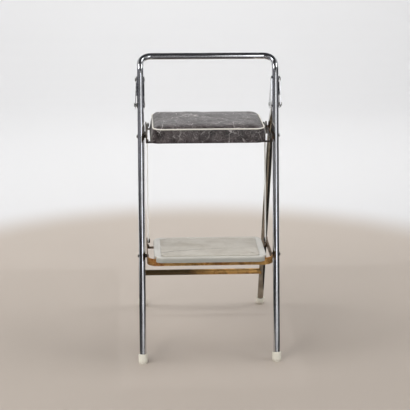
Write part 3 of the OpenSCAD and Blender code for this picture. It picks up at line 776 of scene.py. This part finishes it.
def build_cushion():
    """Stuffed vinyl cover, open below, gathered into the seam round its top."""
    low = Vector((SEAT_MIDDLE.x - SEAM_HALF.x, SEAT_MIDDLE.y - SEAM_HALF.y, SEAT_LOW.z))
    high = Vector((SEAT_MIDDLE.x + SEAM_HALF.x, SEAT_MIDDLE.y + SEAM_HALF.y, SEAM_Z))
    pad = rounded_slab("seat_cushion_cover", low, high, SEAM_CORNERS, 10)
    edit("FACE", lambda f: f.center.z < low.z + LEVEL)
    bpy.ops.mesh.delete(type="FACE")
    done()
    edit("FACE", lambda f: f.center.z > high.z - LEVEL)
    for width in (0.0016, 0.0030, 0.0050):
        bpy.ops.mesh.inset(thickness=width, depth=0.0)
    done()
    for axis, pitch in ((0, 0.0066), (1, 0.0066), (2, 0.0056)):
        cut_grid(axis, low[axis], high[axis], pitch)
    swell_cushion(pad)
    apply_modifier(pad, "SUBSURF", levels=2, render_levels=2)
    shape_cushion(pad)
    apply_modifier(pad, "SOLIDIFY", thickness=COVER_THICKNESS, offset=-1.0)
    smooth(pad, 50.0)
    fit(pad, VINYL, "seat", "seat_cushion")


def build_piping():
    """White cord covered in vinyl, sewn into the top seam, with its ends lapped at the back."""
    path = seam_path()
    data = bpy.data.curves.new("seat_piping_run", "CURVE")
    data.dimensions = "3D"
    run = data.splines.new("POLY")
    lap = path + [path[0] + Vector((-0.004, -0.0012, 0.0009)), path[1] + Vector((-0.008, -0.002, 0.0012))]
    run.points.add(len(lap) - 1)
    for point, place in zip(run.points, lap):
        out = away_from_seam(place)
        wave = noise.noise(place * 55.0) * 0.0004
        place = place + out * (0.0012 + wave * 0.5)
        point.co = (place.x, place.y, place.z + 0.0004 + wave, 1.0)
    data.bevel_depth = 0.0020
    data.bevel_resolution = 4
    data.use_fill_caps = True
    piping = bpy.data.objects.new("seat_piping_cord", data)
    bpy.context.scene.collection.objects.link(piping)
    take(piping)
    bpy.ops.object.convert(target="MESH")
    piping = bpy.context.object
    smooth(piping, 60.0)
    fit(piping, PIPING, "seat", "seat_piping")


# ---------------------------------------------------------------- step


TRAY_CORNER = 0.025
TRAY_SHEET = 0.0013
BAR_GAP = 0.0006
BAR_TURN = (25.5, 39.0)


def build_tray():
    """Pressed sheet tray with a rolled top edge, cut away where the bent bar passes its front corners."""
    low, high = vectors(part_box("step_tray"))
    bar_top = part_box("step_carrier")[1][2]
    tray = rounded_slab("step_tray_pressed", low, high, TRAY_CORNER, 14)
    edit("FACE", lambda f: f.center.z < low.z + LEVEL)
    bpy.ops.mesh.delete(type="FACE")
    done()
    edit("EDGE", lambda e: all(p.z > high.z - LEVEL for p in ends_of(tray, e)))
    bpy.ops.mesh.bevel(offset=0.0042, segments=5, affect="EDGES")
    done()
    edit("FACE", lambda f: f.center.z > high.z - LEVEL)
    bpy.ops.mesh.inset(thickness=0.005, depth=0.0)
    bpy.ops.mesh.inset(thickness=0.0025, depth=-0.0006)
    done()
    edit("VERT", lambda v: True)
    bpy.ops.mesh.bisect(plane_co=(0.0, 0.0, bar_top + BAR_GAP), plane_no=(0.0, 0.0, 1.0))
    done()

    def at_bar(face):
        x, y = abs(face.center.x) - (high.x - TRAY_CORNER), low.y + TRAY_CORNER - face.center.y
        turn = math.degrees(math.atan2(y, x)) if x > 0.0 and y > 0.0 else 0.0
        return face.center.z < bar_top + BAR_GAP and BAR_TURN[0] < turn < BAR_TURN[1]

    edit("FACE", at_bar)
    bpy.ops.mesh.delete(type="FACE")
    done()
    apply_modifier(tray, "SOLIDIFY", thickness=TRAY_SHEET, offset=-1.0)
    smooth(tray, 35.0)
    fit(tray, TRAY, "step", "step_tray")


def build_tread():
    """Tread mat, softened at its edge and a little wavy where it has lifted."""
    low, high = vectors(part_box("tread_mat"))
    mat = rounded_slab("tread_mat_sheet", low, high, 0.014, 8)
    edit("EDGE", lambda e: all(p.z > high.z - LEVEL for p in ends_of(mat, e)))
    bpy.ops.mesh.bevel(offset=0.0009, segments=3, affect="EDGES")
    done()
    edit("FACE", lambda f: f.center.z > high.z - LEVEL)
    bpy.ops.mesh.inset(thickness=0.004, depth=0.0)
    bpy.ops.mesh.inset(thickness=0.012, depth=0.0)
    done()
    for axis in (0, 1):
        cut_grid(axis, low[axis], high[axis], 0.012)
    for v in mat.data.vertices:
        if v.co.z > high.z - LEVEL:
            v.co.z -= abs(noise.noise(v.co * 22.0)) * 0.0005
    smooth(mat, 35.0)
    fit(mat, TREAD, "step", "tread_mat")


# ---------------------------------------------------------------- feet

LEG_X, REAR_LEG_X = 0.191, 0.1887
TUBE_R = 0.0095
FRONT_LEAN, REAR_LEAN = 11.8, 20.107
TIP_RADIUS, TIP_DEPTH, TIP_MIDDLE, TIP_TOP = 0.013, 0.037, 0.0065, 0.025
FOOT_LINE_FRONT = cad_box[0][1] + TIP_RADIUS / math.cos(math.radians(FRONT_LEAN))
FOOT_LINE_REAR = cad_box[1][1] - TIP_RADIUS / math.cos(math.radians(REAR_LEAN))


def build_foot(node, body, axis_x, lean):
    """Ribbed plastic tip pushed onto a leaning tube and trimmed level with the floor."""
    base_y = FOOT_LINE_FRONT if lean > 0 else FOOT_LINE_REAR
    clear_bench()
    bpy.ops.mesh.primitive_cylinder_add(
        vertices=40, radius=TIP_RADIUS, depth=TIP_DEPTH, location=(0.0, 0.0, TIP_MIDDLE)
    )
    tip = settle(bpy.context.object)
    edit("FACE", lambda f: abs(f.normal.z) < 0.5)
    bpy.ops.mesh.subdivide(number_cuts=1)
    done()
    edit("FACE", lambda f: f.normal.z > 0.9)
    bpy.ops.mesh.inset(thickness=0.0034, depth=0.0)
    bpy.ops.mesh.extrude_region_move(TRANSFORM_OT_translate={"value": (0.0, 0.0, -0.017)})
    done()
    edit("EDGE", lambda e: all(abs(p.z - TIP_TOP) < LEVEL for p in ends_of(tip, e)))
    bpy.ops.mesh.bevel(offset=0.0008, segments=3, affect="EDGES")
    done()
    for v in tip.data.vertices:
        if math.hypot(v.co.x, v.co.y) > 0.0108:
            pinch = 1.0 - 0.035 * max(0.0, min(1.0, (v.co.z - 0.004) / 0.018))
            v.co.x *= pinch
            v.co.y *= pinch
    collars = []
    for height, proud in ((0.0212, 0.0131), (0.0105, 0.0130)):
        clear_bench()
        bpy.ops.mesh.primitive_torus_add(
            location=(0.0, 0.0, height),
            major_radius=proud - 0.0009,
            minor_radius=0.0011,
            major_segments=48,
            minor_segments=8,
        )
        collars.append(bpy.context.object)
    tip = join_pieces(node + "_tip", [tip] + collars)
    tip.rotation_euler = (-math.radians(lean), 0.0, 0.0)
    tip.location = (axis_x, base_y, 0.0)
    settle(tip)
    edit("VERT", lambda v: True)
    bpy.ops.mesh.bisect(
        plane_co=(0.0, 0.0, 0.0), plane_no=(0.0, 0.0, 1.0), use_fill=True, clear_inner=True, clear_outer=False
    )
    done()
    smooth(tip, 40.0)
    fit(tip, FOOT, body, node)


# ---------------------------------------------------------------- rivets and caps

ARM_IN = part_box("seat_strap_rivets")[1][0] - 0.003
DOME_TURNS = [math.pi / 2 * k / 6.6 for k in range(1, 7)]
CAP_THICKNESS, CAP_RADIUS, CAP_EDGE = 0.004, 0.0065, 0.0015
BEAD_WANDER = 0.0006


def turned_stud(profile, place, side):
    """A turned pin along X, drawn out of a disc station by station; profile holds (place along X, radius)."""
    clear_bench()
    x, radius = profile[0]
    bpy.ops.mesh.primitive_circle_add(
        vertices=28,
        radius=radius,
        fill_type="NGON",
        location=(x * side, place[1], place[2]),
        rotation=(0.0, math.pi / 2, 0.0),
    )
    stud = settle(bpy.context.object)
    edit("FACE", lambda f: True)
    for next_x, next_radius in profile[1:]:
        bpy.ops.mesh.extrude_region_move(TRANSFORM_OT_translate={"value": ((next_x - x) * side, 0.0, 0.0)})
        grow = next_radius / radius
        bpy.ops.transform.resize(value=(1.0, grow, grow), center_override=(next_x * side, place[1], place[2]))
        x, radius = next_x, next_radius
    bpy.ops.mesh.select_all(action="SELECT")
    bpy.ops.mesh.normals_make_consistent(inside=False)
    done()
    return stud


def domed(inner, outer, radius, crown, shank):
    """Profile of a rivet lying from inner to outer, with a flat inner head and a domed outer one."""
    (a0, a1), (b0, b1) = inner, outer
    profile = [(a0, radius * 0.8), (a0 + (a1 - a0) * 0.4, radius), (a1, radius), (a1 + 0.00001, shank)]
    profile += [(b0, shank), (b0 + 0.00001, radius), (b0 + crown * 0.25, radius)]
    rim = b0 + crown * 0.25
    for turn in DOME_TURNS:
        profile.append((rim + (b1 - b0 - crown * 0.25) * math.sin(turn), radius * math.cos(turn)))
    return profile


def build_pivot_rivets():
    """Turned pins of the seat and the step, with a flat head inside and a domed one outside."""
    for node in ("seat_pivot_rivets", "step_pivot_rivets"):
        low, high = vectors(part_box(node))
        middle = (low + high) / 2
        inner, outer = ARM_IN - 0.0021, LEG_X + TUBE_R + 0.0002
        profile = domed((inner, ARM_IN - 0.0001), (outer, high.x), 0.005, 0.0025, 0.0029)
        studs = [turned_stud(profile, middle, side) for side in (-1, 1)]
        fit(smooth(join_pieces(node + "_turned", studs), 30.0), ZINC, "front_frame", node)


def build_caps():
    """Pressed plastic caps over the inner ends of the link rivets."""
    for node, body in (("seat_link_caps", "seat"), ("step_link_caps", "step")):
        low, high = vectors(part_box(node))
        middle = (low + high) / 2
        inner = high.x - CAP_THICKNESS
        profile = [(high.x, 0.0060), (high.x - 0.0006, CAP_RADIUS), (inner + CAP_EDGE, CAP_RADIUS)]
        for turn in DOME_TURNS:
            profile.append((inner + CAP_EDGE - CAP_EDGE * math.sin(turn), 0.0062 * math.cos(turn)))
        studs = [turned_stud(profile, middle, side) for side in (-1, 1)]
        fit(smooth(join_pieces(node + "_pressed", studs), 30.0), CAP, body, node)


def build_weld_beads():
    """Uneven weld beads where the stretcher meets the rear legs."""
    low, high = vectors(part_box("rear_stretcher"))
    middle = (low + high) / 2
    beads = []
    for side in (-1, 1):
        clear_bench()
        bpy.ops.mesh.primitive_torus_add(
            location=(side * (high.x - 0.0012), middle.y, middle.z),
            rotation=(0.0, math.pi / 2, 0.0),
            major_radius=0.0092,
            minor_radius=0.0019,
            major_segments=56,
            minor_segments=10,
        )
        bead = settle(bpy.context.object)
        for v in bead.data.vertices:
            wander = (
                noise.noise(v.co * 420.0),
                noise.noise(v.co * 380.0 + Vector((5.0, 0.0, 0.0))),
                noise.noise(v.co * 400.0),
            )
            v.co += Vector(wander) * BEAD_WANDER
        beads.append(bead)
    whole = smooth(join_pieces("stretcher_weld_beads", beads), 60.0)
    fit(whole, STRETCHER, "rear_frame")


# ---------------------------------------------------------------- studio

FRAME, SENSOR = 410.0, 36.0


def mesh_from_primitive(name, material):
    """Names the primitive that was just placed and gives it its only material."""
    piece = bpy.context.object
    piece.name = piece.data.name = name
    piece.data.materials.clear()
    piece.data.materials.append(material)
    return piece


def paint(name, colour, roughness, further=None):
    """Matt studio paint, turning to another tone away from the middle of the floor where one is given."""
    material, s, shader, place = start_material(name)
    tone = s.mix(s.noise(place, 3.0, 3.0), colour, [0.97 * c for c in colour])
    if further is not None:
        away = s.add("VectorMath", operation="LENGTH", inputs={0: place}).outputs["Value"]
        tone = s.mix(s.ramp(away, 1.15, 1.5, "SMOOTHSTEP"), tone, further)
    s.join(tone, shader.inputs["Base Color"])
    shader.inputs["Roughness"].default_value = roughness
    return material


def build_stage():
    """A pale floor that sweeps up into pale walls, and dark flags that only glossy surfaces see."""
    clear_bench()
    bpy.ops.mesh.primitive_plane_add(size=9.0, location=(0.0, 0.0, 0.0))
    paper = paint("studio_paper", (0.50, 0.44, 0.385), 0.7, (0.70, 0.70, 0.705))
    floor = mesh_from_primitive("studio_sweep", paper)
    edit("EDGE", lambda e: True)
    bpy.ops.mesh.extrude_region_move(TRANSFORM_OT_translate={"value": (0.0, 0.0, 5.0)})
    done()
    edit("EDGE", lambda e: all(p.z < 0.01 for p in ends_of(floor, e)))
    bpy.ops.mesh.bevel(offset=1.2, segments=16, affect="EDGES")
    done()
    bpy.ops.object.shade_smooth()
    across = math.pi / 2
    for title, place, turn, size, shade in (
        ("right", (2.0, -0.3, 1.3), (0.0, across, 0.0), (2.6, 1.8), 0.05),
        ("left", (-2.3, -0.6, 1.3), (0.0, across, 0.0), (2.6, 3.2), 0.22),
        ("front", (-1.0, -4.2, 1.7), (across, 0.0, 0.0), (2.7, 3.6), 0.06),
        ("above", (0.0, -0.2, 3.1), (0.0, 0.0, 0.0), (3.2, 6.0), 0.05),
        ("low_left", (-1.1, -1.35, 0.26), (0.0, across, 0.0), (0.5, 2.5), 0.03),
        ("low_right", (1.3, -0.4, 0.3), (0.0, across, 0.0), (0.58, 1.8), 0.03),
        ("floor_front", (0.0, -1.4, 0.004), (0.0, 0.0, 0.0), (0.7, 2.0), 0.04),
        ("floor_left", (-0.74, -0.2, 0.004), (0.0, 0.0, 0.0), (0.95, 1.6), 0.03),
        ("floor_right", (0.74, -0.2, 0.004), (0.0, 0.0, 0.0), (0.95, 1.6), 0.03),
    ):
        clear_bench()
        bpy.ops.mesh.primitive_plane_add(size=1.0, location=place, rotation=turn)
        cloth = paint("flag_cloth_" + title, (shade, shade, 1.1 * shade), 0.9)
        flag = mesh_from_primitive("flag_" + title, cloth)
        flag.scale = (*size, 1.0)
        settle(flag)
        flag.visible_camera = flag.visible_diffuse = flag.visible_shadow = False


def add_softbox(name, place, target, size, power, colour=(1.0, 1.0, 1.0)):
    light = bpy.data.lights.new(name, "AREA")
    light.shape = "RECTANGLE"
    light.size, light.size_y = size
    light.energy = power
    light.color = colour
    lamp = bpy.data.objects.new(name, light)
    bpy.context.scene.collection.objects.link(lamp)
    lamp.location = place
    lamp.rotation_euler = (Vector(target) - Vector(place)).to_track_quat("-Z", "Y").to_euler()
    return lamp


def build_light():
    world = bpy.data.worlds.new("studio_world")
    bpy.context.scene.world = world
    world.use_nodes = True
    sky = world.node_tree.nodes["Background"].inputs
    sky["Color"].default_value = (0.62, 0.68, 0.78, 1.0)
    sky["Strength"].default_value = 0.13
    key = add_softbox("key_left", (-2.1, -2.6, 2.6), (0.0, 0.0, 0.4), (1.2, 2.0), 50.0, (1.0, 0.98, 0.95))
    key.visible_glossy = False
    add_softbox("panel_right", (1.0, -4.0, 1.3), (0.0, 0.0, 0.8), (1.2, 2.5), 18.0, (0.97, 0.98, 1.0))
    add_softbox("top_left", (-2.0, -0.3, 3.0), (0.0, 0.0, 0.3), (1.5, 1.5), 38.0)
    add_softbox("top_right", (2.0, -0.1, 3.0), (0.0, 0.0, 0.3), (1.5, 1.5), 33.0)
    add_softbox("backdrop", (0.0, 1.6, 3.2), (0.0, 4.4, 1.4), (4.0, 1.0), 98.0)
    settings = bpy.context.scene.view_settings
    settings.view_transform = "Standard"
    settings.look = "None"


def build_camera():
    """Stands in front of the stool and looks slightly down on it; focal and row count pixels of FRAME."""
    focal, row = 1252.0, 175.0
    high, back, side = 1.429, 3.323, 0.0166
    turn, tilt, roll = 0.0567, 0.2584, 0.0036
    front_foot = 0.5 * (cad_box[0][1] + cad_box[1][1]) - 0.232771
    c, s = math.cos(turn), math.sin(turn)
    ahead = Vector((s * math.cos(tilt), c * math.cos(tilt), -math.sin(tilt)))
    right = Vector((c, -s, 0.0))
    down = ahead.cross(right)
    right_rolled = math.cos(roll) * right - math.sin(roll) * down
    down_rolled = math.sin(roll) * right + math.cos(roll) * down
    data = bpy.data.cameras.new("camera")
    camera = bpy.data.objects.new("camera", data)
    bpy.context.scene.collection.objects.link(camera)
    turned = Matrix((right_rolled, -down_rolled, -ahead)).transposed()
    place = (-c * side - s * back, front_foot + s * side - c * back, high)
    camera.matrix_world = Matrix.Translation(place) @ turned.to_4x4()
    data.sensor_width = SENSOR
    data.lens = focal / FRAME * SENSOR
    data.shift_y = (row - FRAME / 2) / FRAME
    data.clip_start, data.clip_end = 0.05, 60.0
    bpy.context.scene.camera = camera


build_cushion()
build_piping()
build_tray()
build_tread()
for node, body, side, lean in (
    ("front_foot_left", "front_frame", -LEG_X, FRONT_LEAN),
    ("front_foot_right", "front_frame", LEG_X, FRONT_LEAN),
    ("rear_foot_left", "rear_frame", -REAR_LEG_X, -REAR_LEAN),
    ("rear_foot_right", "rear_frame", REAR_LEG_X, -REAR_LEAN),
):
    build_foot(node, body, side, lean)
build_pivot_rivets()
build_caps()
build_weld_beads()
build_stage()
build_light()
build_camera()
